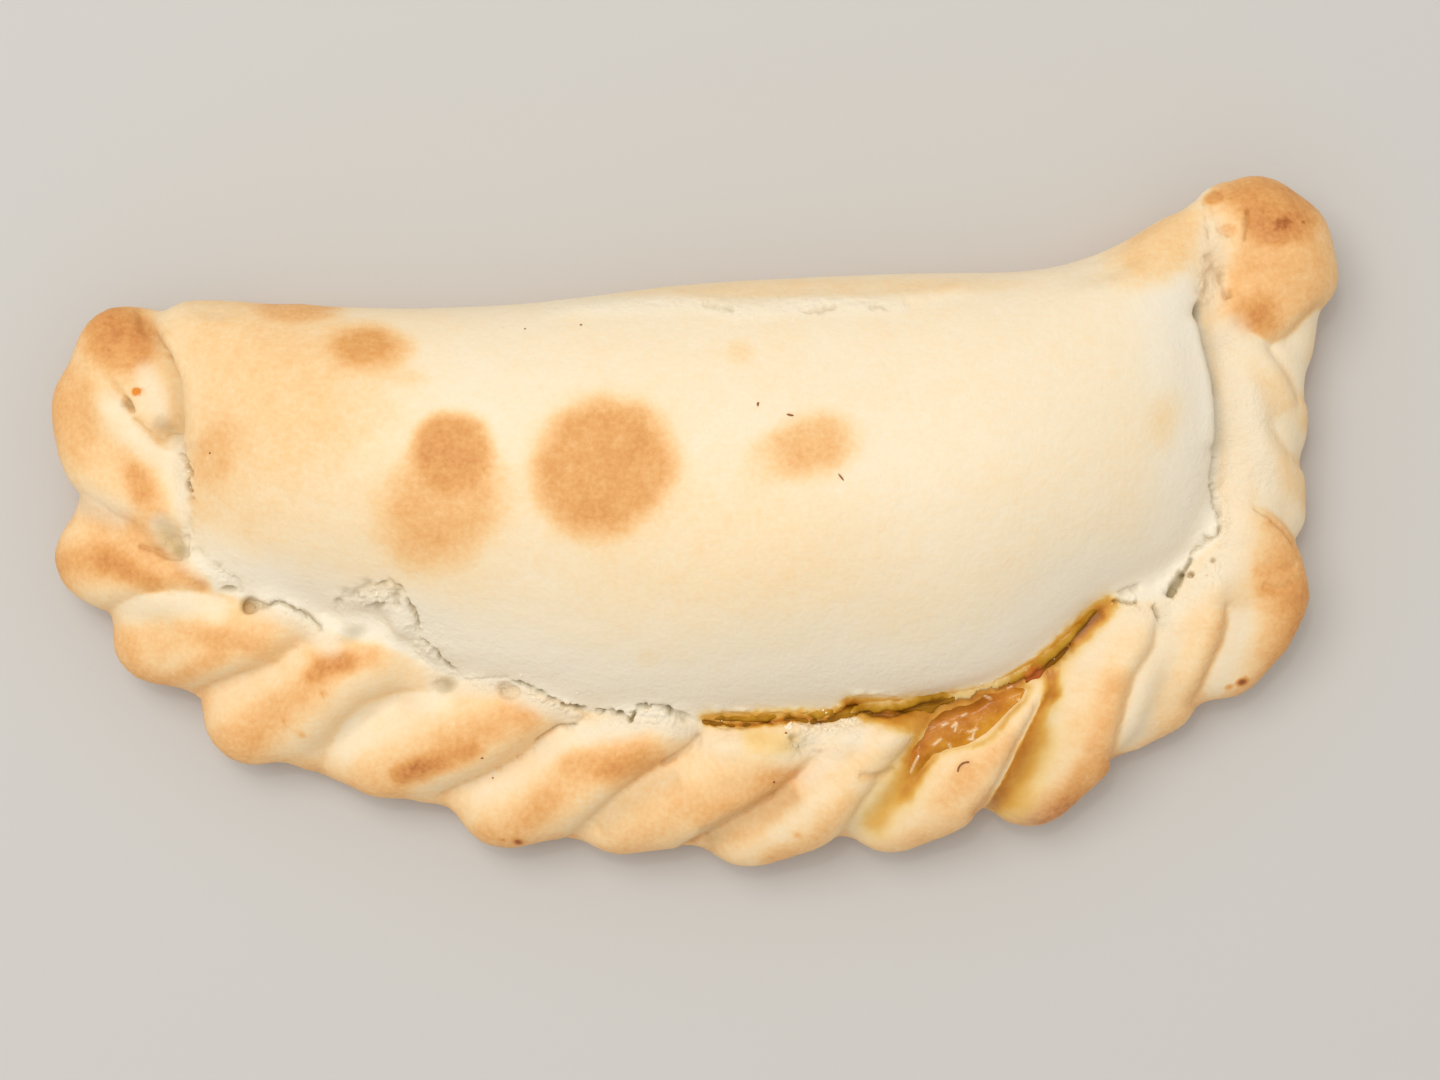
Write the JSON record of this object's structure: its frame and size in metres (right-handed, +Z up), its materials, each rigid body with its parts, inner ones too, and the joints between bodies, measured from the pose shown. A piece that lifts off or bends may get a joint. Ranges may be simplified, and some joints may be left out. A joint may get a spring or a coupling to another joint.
{
  "type": "empanada",
  "caption": "Large baked half-moon pastry with a domed body, a folded rope edge ending in a ball of dough, and filling welling up through a split in the seam.",
  "frame": {"origin": "on the flat underside, below the middle of the plan", "axes": "+X along the length towards the end with the ball of dough, +Y towards the folded back edge, +Z up"},
  "size_m": [0.1396, 0.075, 0.0301],
  "materials": {
    "crust": "pale baked wheat dough, browned in spots and along the crests of the folds",
    "filling": "glossy set stew juice, amber brown"
  },
  "bodies": {
    "root": {"crust": "crust", "filling": "filling"}
  },
  "joints": []
}
